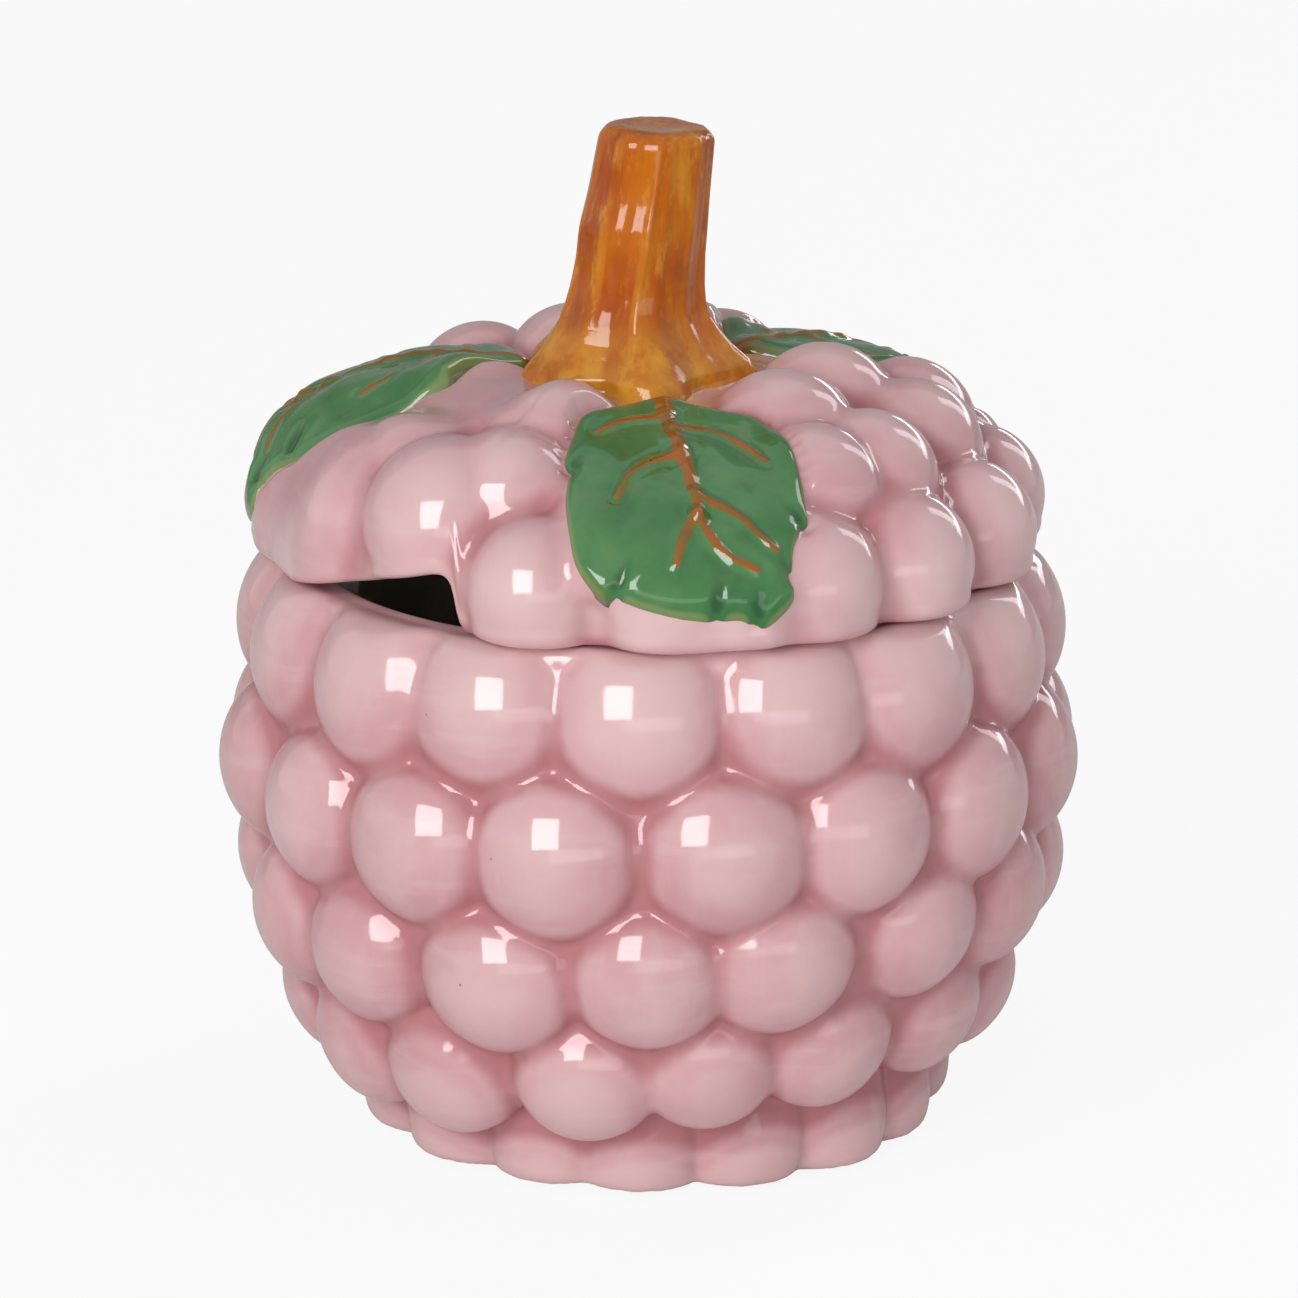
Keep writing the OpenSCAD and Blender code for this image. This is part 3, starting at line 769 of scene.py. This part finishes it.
# Each vein has a width and the points that it follows
VEINS = (
    (1.7, ((-0.4, 0.5), (-0.4, 2.8), (-0.1, 9.5), (0.5, 14.9), (1.0, 20.3), (1.4, 24.4), (1.3, 26.3))),
    (1.15, ((1.3, 26.3), (2.2, 29.0), (3.2, 31.0), (4.9, 32.8), (7.6, 34.1))),
    (1.25, ((1.1, 25.8), (-0.1, 28.4), (-1.3, 30.9), (-1.9, 33.5))),
    (1.05, ((0.4, 14.6), (-0.7, 15.3), (-2.4, 15.8), (-4.4, 17.0), (-6.5, 19.0), (-8.1, 22.5))),
    (1.0, ((-0.2, 6.2), (-4.2, 7.1), (-6.7, 7.7), (-9.1, 9.2))),
    (1.0, ((0.3, 8.8), (2.3, 9.3), (4.7, 10.2), (6.9, 11.7), (8.8, 13.8), (10.5, 16.8))),
    (1.1, ((1.3, 22.6), (2.3, 23.4), (4.4, 25.1), (6.6, 26.9), (8.2, 29.2), (10.3, 31.4))),
)


def leaf_place(turn, right, along, height):
    """From the leaf's own plane, in millimetres, to the part's frame."""
    y = -along * math.cos(LEAF_SLOPE) - height * math.sin(LEAF_SLOPE)
    z = -along * math.sin(LEAF_SLOPE) + height * math.cos(LEAF_SLOPE)
    x, y, z = right * MM, y * MM, z * MM + LEAF_BASE_Z
    c, s = math.cos(turn), math.sin(turn)
    return np.stack([x * c - y * s, x * s + y * c, z], -1)


def leaf_heights(node, turn):
    """Height of the leaf's face over its plane on a grid, carried on smoothly past its edges."""
    tree = solid(node)
    down = Vector(leaf_place(turn, 0.0, 0.0, 0.0) - leaf_place(turn, 0.0, 0.0, 1.0))
    tops = np.zeros((len(GRID_ALONG), len(GRID_RIGHT)))
    for i, along in enumerate(GRID_ALONG):
        for j, right in enumerate(GRID_RIGHT):
            hit = tree.ray_cast(Vector(leaf_place(turn, right, along, CAST_FROM)), down)
            if hit[0] is not None and hit[1].dot(down) < 0:
                tops[i, j] = CAST_FROM - hit[3] / MM
    use = tops > LEAF_LEAST
    known = use * 1.0
    right, along = np.meshgrid(GRID_RIGHT, GRID_ALONG)
    terms = np.stack([np.ones_like(right), right, along, right ** 2, along ** 2, right * along,
                      along ** 3, right ** 2 * along, right ** 4, along ** 4], -1)
    fit = terms @ np.linalg.lstsq(terms[use], tops[use], rcond=None)[0]
    rest = spread(known * (tops - fit), REST_BLUR) / np.maximum(spread(known, REST_BLUR), REST_LEAST)
    return fit + rest


def spread(grid, size):
    """Gaussian blur of a flat grid, with the size in millimetres."""
    reach = int(3 * size / GRID)
    weights = np.exp(-0.5 * (np.arange(-reach, reach + 1) * GRID / size) ** 2)
    weights /= weights.sum()
    for axis in (0, 1):
        grid = np.apply_along_axis(lambda line: np.convolve(line, weights, "same"), axis, grid)
    return grid


def on_grid(grid, right, along):
    """Value of a grid between its points."""
    u = np.clip((right - GRID_RIGHT[0]) / GRID, 0, len(GRID_RIGHT) - 1.001)
    v = np.clip((along - GRID_ALONG[0]) / GRID, 0, len(GRID_ALONG) - 1.001)
    i, j = v.astype(int), u.astype(int)
    a, b = v - i, u - j
    return ((1 - a) * ((1 - b) * grid[i, j] + b * grid[i, j + 1])
            + a * ((1 - b) * grid[i + 1, j] + b * grid[i + 1, j + 1]))


def smooth_loop(spots, count):
    """Closed smooth curve through these points, at even steps."""
    spots = np.array(spots, float)
    t = np.linspace(0, 1, 24, endpoint=False)[:, None]
    dense = []
    for k in range(len(spots)):
        a, b, c, d = (spots[(k + n) % len(spots)] for n in (-1, 0, 1, 2))
        dense.append(b + 0.5 * t * (c - a + t * (2 * a - 5 * b + 4 * c - d + t * (3 * (b - c) + d - a))))
    closed = np.concatenate(dense + [dense[0][:1]])
    lengths = np.concatenate([[0], np.cumsum(np.hypot(*np.diff(closed, axis=0).T))])
    wanted = np.linspace(0, lengths[-1], count, endpoint=False)
    return np.stack([np.interp(wanted, lengths, closed[:, n]) for n in (0, 1)], -1)


def leaf_loop(flip, wide):
    """The leaf's outline, nicked at its dents, and wider on its right, most of all near its root."""
    loop = smooth_loop(OUTLINE, LOOP_FINE * LEAF_AROUND)
    for _, end in DENTS:
        near = np.exp(-(np.hypot(*(loop - np.array(end)).T) / NICK_R) ** 2)[:, None]
        loop = loop + NICK_SHARE * near * (LEAF_CENTRE - loop)
    near_root = np.exp(-((loop[:, 1] - ROOT_ALONG) / ROOT_ALONG) ** 2)
    loop[:, 0] *= 1 + wide * (loop[:, 0] > 0) * (1 + ROOT_WIDER * near_root)
    return loop * flip


def away_from(spots, line):
    """Distance of points from a bent line, and how far along it they lie."""
    right, along = spots.T
    best = np.full(right.shape, np.inf)
    where = np.zeros(right.shape)
    for n, (a, b) in enumerate(zip(line[:-1], line[1:])):
        dx, dy = b[0] - a[0], b[1] - a[1]
        t = np.clip(((right - a[0]) * dx + (along - a[1]) * dy) / (dx * dx + dy * dy), 0, 1)
        d = np.hypot(right - a[0] - t * dx, along - a[1] - t * dy)
        nearer = d < best
        best = np.where(nearer, d, best)
        where = np.where(nearer, (n + t) / (len(line) - 1), where)
    return best, where


def leaf_veins(spots, flip):
    """How far the veins raise the face, with a dip along each side, and a share of 1 on each vein."""
    rise = np.zeros(len(spots))
    vein = np.zeros(len(spots))
    for width, line in VEINS:
        d, where = away_from(spots, np.array(line) * flip)
        w = width * (1 - VEIN_TAPER * where)
        ridge = VEIN_RISE * width * np.exp(-(d / (0.6 * w)) ** 2)
        dips = VEIN_DIP * np.exp(-((d - 1.6 * w) / (0.8 * w)) ** 2)
        rise += ridge - dips
        vein = np.maximum(vein, np.exp(-(d / (0.72 * w)) ** 4))
    return rise, vein


def leaf_dents(spots, flip):
    """A share from 0 to 1 of each dent's depth."""
    dent = np.zeros(len(spots))
    for line in DENTS:
        d, where = away_from(spots, np.array(line) * flip)
        depth = DENT_START + (1 - DENT_START) * where
        dent = np.maximum(dent, np.exp(-(d / DENT_R) ** 2) * depth)
    return dent


def leaf_piece(node, material, mirror, phase, crown=0.0, wide=0.0, ridge=1.0):
    """One leaf, in rings from its outline to its middle. Gives its upper face, as points and faces."""
    turn = math.radians(LEAF_TURN[node])
    flip = np.array((mirror, 1.0))
    loop = leaf_loop(flip, wide)
    middle = LEAF_CENTRE * flip
    inward = 1 - (np.arange(LEAF_RINGS) / LEAF_RINGS) ** RING_POWER
    spots = middle + inward[:, None, None] * (loop[::LOOP_FINE] - middle)
    spots = np.concatenate([spots.reshape(-1, 2), middle[None]])
    right, along = spots.T
    inset = np.concatenate([np.sqrt(((part[:, None] - loop[None]) ** 2).sum(-1).min(1))
                            for part in np.array_split(spots, 12)])

    rise, vein = leaf_veins(spots, flip)
    dent = leaf_dents(spots, flip)
    wave = WAVE_RISE * np.sin(0.5 * along + 1.3 * mirror) * np.sin(0.45 * right + phase * 6)
    drop = 1.0 - np.sqrt(np.maximum(0, 1 - (1 - np.minimum(inset, LEAF_EDGE) / LEAF_EDGE) ** 2))
    fade = np.minimum(1, inset / FADE_REACH)
    top = on_grid(leaf_heights(node, turn), right, along) + crown * ramp(inset, 0.0, CROWN_REACH)
    top = top + fade * (ridge * rise + wave) - DENT_DEPTH * dent - LEAF_DROP * drop - LEAF_SINK
    thin = np.exp(-(inset / THIN_REACH) ** 2) - DENT_DARK * dent

    face = leaf_place(turn, right, along, top)
    tops = disc(LEAF_RINGS, 0)
    kept = [n * LEAF_AROUND + j for n in LEAF_UNDER_RINGS for j in range(LEAF_AROUND)] + [len(spots) - 1]
    shrunk = middle + LEAF_UNDERCUT * (spots[kept] - middle)
    under = leaf_place(turn, shrunk[:, 0], shrunk[:, 1], top[kept] - LEAF_THICK)
    first = len(spots)
    faces = tops + [f[::-1] for f in disc(len(LEAF_UNDER_RINGS), first)]
    for j in range(LEAF_AROUND):
        n = (j + 1) % LEAF_AROUND
        faces.append((n, j, first + j, first + n))
    points = np.concatenate([face, under])
    marks = {"vein": np.concatenate([vein, vein[kept]]), "thin": np.concatenate([thin, thin[kept]])}
    add_mesh(node + "_glazed", points, faces, marks, material, "lid", node)
    return face, tops


def disc(rings, first):
    """Faces of a disc of rings of points, from its edge to one point in its middle."""
    faces = []
    middle = first + rings * LEAF_AROUND
    for j in range(LEAF_AROUND):
        n = (j + 1) % LEAF_AROUND
        for k in range(rings - 1):
            a = first + k * LEAF_AROUND
            b = a + LEAF_AROUND
            faces.append((a + j, a + n, b + n, b + j))
        a = first + (rings - 1) * LEAF_AROUND
        faces.append((a + j, a + n, middle))
    return faces


def one_tree(parts):
    """One ray tree over several pairs of points and faces."""
    points, faces = [], []
    for some_points, some_faces in parts:
        first = len(points)
        points += [Vector(p) for p in some_points]
        faces += [[first + i for i in f] for f in some_faces]
    return BVHTree.FromPolygons(points, faces)


# Stem, in millimetres and in radians from +X

STEM_Z = (98.3, 100.2, 102, 104, 106, 108, 112, 116, 120, 124, 128.4)
STEM_R = (14.3, 12.2, 10.7, 9.4, 8.7, 8.3, 7.85, 7.6, 7.4, 7.2, 6.95)
STEM_SIDES = 192
STEM_RINGS = 130
STEM_FOOT = 95.4
STEM_TOP = 128.45
STEM_TOP_R = 1.9
STEM_SKIRT = 0.55
FLARE_Z = 97.0
FLARE_SIZE = 5.5
FLARE_TO_TOP = 31.5
FLUTES = 9
FLUTE_DEPTH = 0.14
FLARE_FLUTE = 0.32
ROOT_LOBES = 5
ROOT_LOBE_DEPTH = 1.5
SEAM_TURN = 1.5 * math.pi
SEAM_RISE = 0.22
SEAM_SIZE = 0.05
KNOT_Z = 115.5
KNOT_SIZE = 3.2
KNOT_RISE = 0.6
KNOT_TURN = 4.25
STEM_X = -2.2
STEM_LEAN = 3.2
TOP_SLANT = 0.6
CAP_STEPS = (0.8, 0.5, 0.2)
CAP_DIP = 0.25
RISE_POWER = 1.15


def stem_ring(z, a):
    """One ring of the stem's points at a height, and how deep in a groove each lies."""
    r = np.interp(z, STEM_Z, STEM_R) if z > STEM_Z[0] else STEM_R[0] + STEM_SKIRT * (STEM_Z[0] - z)
    flare = math.exp(-max(0.0, z - FLARE_Z) / FLARE_SIZE)
    up = (z - FLARE_Z) / FLARE_TO_TOP
    twist = a + 0.16 * up + 0.04 * math.sin(5 * up)
    flute = np.cos(FLUTES * twist + 0.7 * np.sin(2 * a + 0.4) + 0.4 * np.sin(3 * a))
    depth = FLUTE_DEPTH + FLARE_FLUTE * flare + 0.05 * np.sin(2 * a + 6 * up)
    fine = 0.05 * np.cos(23 * twist + 1.1) + 0.16 * np.sin(4 * a + 0.9 + 1.2 * up)
    lobes = ROOT_LOBE_DEPTH * (np.cos(ROOT_LOBES * a + 0.35) - 1) * flare
    seam = SEAM_RISE * np.exp(-((a - SEAM_TURN - 0.1 * up) / SEAM_SIZE) ** 2)
    seam = seam * (1 - max(0.0, up - 0.75) * 4)
    knot = KNOT_RISE * math.exp(-((z - KNOT_Z) / KNOT_SIZE) ** 2)
    knot = knot * (0.5 + 0.5 * np.cos(a - KNOT_TURN)) ** 2
    edge = max(0.0, 1 - (STEM_TOP - z) / STEM_TOP_R)
    edge_in = STEM_TOP_R * (1 - math.sqrt(max(0.0, 1 - edge ** 2)))
    radius = r + depth * flute + fine + lobes + seam + knot - edge_in
    x = STEM_X + STEM_LEAN * max(0.0, up - 0.25) / 0.75
    slant = TOP_SLANT * max(0.0, up - 0.6) / 0.4 * (0.5 + 0.5 * np.cos(a - 0.2))
    row = np.stack([x + radius * np.cos(a), radius * np.sin(a), z - slant], -1) * MM
    return row, np.clip(0.5 - 0.5 * flute - 3 * seam, 0, 1)


def stem_piece(material):
    """A softly fluted stem with a lobed root, a seam at its front, a knot and a slanting top."""
    a = even_turns(STEM_SIDES)
    levels = STEM_FOOT + (STEM_TOP - STEM_FOOT) * np.linspace(0, 1, STEM_RINGS) ** RISE_POWER
    rings = [stem_ring(z, a) for z in levels]
    rim = rings[-1][0]
    middle = rim.mean(0)
    skin = Skin("groove")
    skin.add(rings[0][0].mean(0)[None])
    for row, groove in rings:
        skin.add(row, groove=groove)
    for inset in CAP_STEPS:
        dip = CAP_DIP * (1 - inset) * MM
        cap = middle + (rim - middle) * inset - np.array([0, 0, dip])
        skin.add(cap, groove=0.5)
    skin.add(cap.mean(0)[None], groove=0.5)
    skin.finish("stem_glazed", material, "lid", "stem", "amber_glaze")


# Floor, light and camera

FLOOR_LINE = ((-3.0, 0.0), (2.2, 0.0), (2.6, 0.06), (2.9, 0.3), (3.0, 0.8), (3.0, 3.5))
FLOOR_HALF = 4.0
FLOOR_DROP = 0.00002
FLOOR_GREY = 0.86
FLOOR_WHITE_SHARE = 0.9
WORLD_LIGHT = 0.37
SENSOR = 36
FOCAL_PIXELS = 6289
IMAGE_PIXELS = 1298
CAMERA_AWAY = 0.8
CAMERA_TILT = math.radians(17)
CAMERA_X = -0.00012
CAMERA_AIM_Z = 0.06016


def floor_piece():
    """A pale floor that runs up into a backdrop, near white to the camera, with the pot's shadow."""
    mesh = bpy.data.meshes.new("floor")
    points = [(x, y, z - FLOOR_DROP) for y, z in FLOOR_LINE for x in (-FLOOR_HALF, FLOOR_HALF)]
    faces = [(2 * k, 2 * k + 1, 2 * k + 3, 2 * k + 2) for k in range(len(FLOOR_LINE) - 1)]
    mesh.from_pydata(points, [], faces)
    material = bpy.data.materials.new("floor")
    material.use_nodes = True
    tree = material.node_tree
    tree.nodes.clear()
    out = tree.nodes.new("ShaderNodeOutputMaterial")
    matt = tree.nodes.new("ShaderNodeBsdfDiffuse")
    matt.inputs["Color"].default_value = (FLOOR_GREY, FLOOR_GREY, FLOOR_GREY, 1)
    glow = tree.nodes.new("ShaderNodeEmission")
    glow.inputs["Color"].default_value = WHITE
    rays = tree.nodes.new("ShaderNodeLightPath")
    share = tree.nodes.new("ShaderNodeMath")
    share.operation = "MULTIPLY"
    share.inputs[1].default_value = FLOOR_WHITE_SHARE
    tree.links.new(rays.outputs["Is Camera Ray"], share.inputs[0])
    blend = tree.nodes.new("ShaderNodeMixShader")
    tree.links.new(share.outputs[0], blend.inputs[0])
    tree.links.new(matt.outputs[0], blend.inputs[1])
    tree.links.new(glow.outputs[0], blend.inputs[2])
    tree.links.new(blend.outputs[0], out.inputs["Surface"])
    mesh.materials.append(material)
    floor = bpy.data.objects.new("floor", mesh)
    bpy.context.scene.collection.objects.link(floor)


def soft_light(name, place, size, power, aim, roll=0.0, lights_all=True):
    """A soft box. One that doesn't light all is seen in the glaze alone."""
    lamp = bpy.data.lights.new(name, "AREA")
    lamp.shape = "RECTANGLE"
    lamp.size, lamp.size_y = size
    lamp.energy = power
    light = bpy.data.objects.new(name, lamp)
    light.location = place
    facing = (Vector(aim) - Vector(place)).to_track_quat("-Z", "Y")
    light.rotation_euler = (facing @ Quaternion((0, 0, 1), math.radians(roll))).to_euler()
    light.visible_diffuse = lights_all
    bpy.context.scene.collection.objects.link(light)


def surroundings():
    """White for the camera and in reflections, and a plain grey glow as light."""
    world = bpy.data.worlds.new("studio")
    bpy.context.scene.world = world
    world.use_nodes = True
    tree = world.node_tree
    tree.nodes.clear()
    out = tree.nodes.new("ShaderNodeOutputWorld")
    light = tree.nodes.new("ShaderNodeBackground")
    light.inputs["Color"].default_value = WHITE
    light.inputs["Strength"].default_value = WORLD_LIGHT
    white = tree.nodes.new("ShaderNodeBackground")
    white.inputs["Color"].default_value = WHITE
    white.inputs["Strength"].default_value = 1.0
    rays = tree.nodes.new("ShaderNodeLightPath")
    seen = rays.outputs["Is Camera Ray"]
    for name in ("Is Glossy Ray", "Is Transmission Ray"):
        either = tree.nodes.new("ShaderNodeMath")
        either.operation = "MAXIMUM"
        tree.links.new(seen, either.inputs[0])
        tree.links.new(rays.outputs[name], either.inputs[1])
        seen = either.outputs[0]
    blend = tree.nodes.new("ShaderNodeMixShader")
    tree.links.new(seen, blend.inputs[0])
    tree.links.new(light.outputs[0], blend.inputs[1])
    tree.links.new(white.outputs[0], blend.inputs[2])
    tree.links.new(blend.outputs[0], out.inputs["Surface"])


def camera():
    """The photo's view: from the front, looking down a little."""
    lens = bpy.data.cameras.new("camera")
    lens.sensor_width = SENSOR
    lens.lens = SENSOR * FOCAL_PIXELS / IMAGE_PIXELS
    lens.clip_start = 0.01
    cam = bpy.data.objects.new("camera", lens)
    away, up = CAMERA_AWAY * math.cos(CAMERA_TILT), CAMERA_AWAY * math.sin(CAMERA_TILT)
    cam.location = (CAMERA_X, -away, CAMERA_AIM_Z + up)
    cam.rotation_euler = (math.pi / 2 - CAMERA_TILT, 0, 0)
    bpy.context.scene.collection.objects.link(cam)
    bpy.context.scene.camera = cam


pink = pink_glaze()
green = green_glaze()
pot_skin(pink)
leaf_tops = [
    leaf_piece("leaf_front", green, mirror=1, phase=0.1),
    leaf_piece("leaf_left", green, mirror=1, phase=0.45, crown=2.4, wide=0.18, ridge=0.6),
    leaf_piece("leaf_rear", green, mirror=-1, phase=0.7, crown=1.2, ridge=0.6),
]
lid_skin(pink, one_tree(leaf_tops))
stem_piece(amber_glaze())
floor_piece()
soft_light("key", (-0.5, -1.02, 0.6), (0.66, 0.74), 8.4, (0, 0, 0.06), roll=9)
soft_light("key_shine", (-0.49, -1.0, 0.59), (0.64, 0.72), 14.0, (0, 0, 0.06), roll=9, lights_all=False)
soft_light("fill", (0.25, -1.4, 0.1), (1.6, 0.5), 5.5, (0, 0, 0.03))
soft_light("rim_shine", (0.8, 1.1, 0.4), (1.05, 0.16), 2.8, (0.02, 0, 0.08), lights_all=False)
soft_light("rim", (0.85, 0.75, 0.75), (0.25, 0.8), 3.0, (0, 0, 0.07))
surroundings()
camera()
bpy.context.scene.view_settings.view_transform = "Standard"
